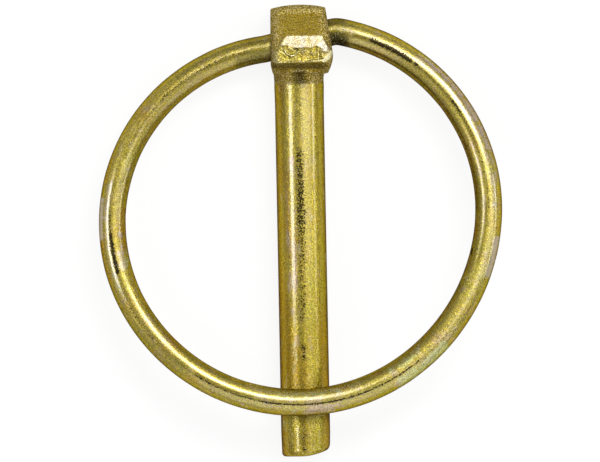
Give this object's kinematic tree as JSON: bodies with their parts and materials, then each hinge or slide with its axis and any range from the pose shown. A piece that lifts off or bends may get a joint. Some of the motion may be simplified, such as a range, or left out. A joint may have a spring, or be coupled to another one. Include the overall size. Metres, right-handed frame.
{
  "type": "lynch pin",
  "caption": "Forged linch pin with a round shank, an upset head and a sprung wire ring that snaps down over the shank.",
  "frame": {"origin": "on the shank's axis, where the parallel shank begins below the neck", "axes": "-Y runs down the shank to its tip, +Y to the head; +Z is the front, the side on which the closed ring crosses the shank, and the pin lies on its back; +X is to the right"},
  "size_m": [0.0521, 0.0583, 0.0101],
  "materials": {
    "pin_zinc": "forged steel with yellow-passivated zinc plating, slightly rough",
    "ring_zinc": "drawn spring-steel wire with yellow-passivated zinc plating, fairly bright"
  },
  "bodies": {
    "pin": {"pin_body": "pin_zinc"},
    "ring": {"snap_ring": "ring_zinc"}
  },
  "joints": [
    {"name": "ring_hinge", "type": "hinge", "parent": "pin", "child": "ring", "pos_m": [0, 0.00905, 0], "axis": [-0.9744, -0.225, 0], "range_deg": [0, 175], "stiffness_Nm_per_rad": 0.15, "springref_deg": -28.65}
  ]
}
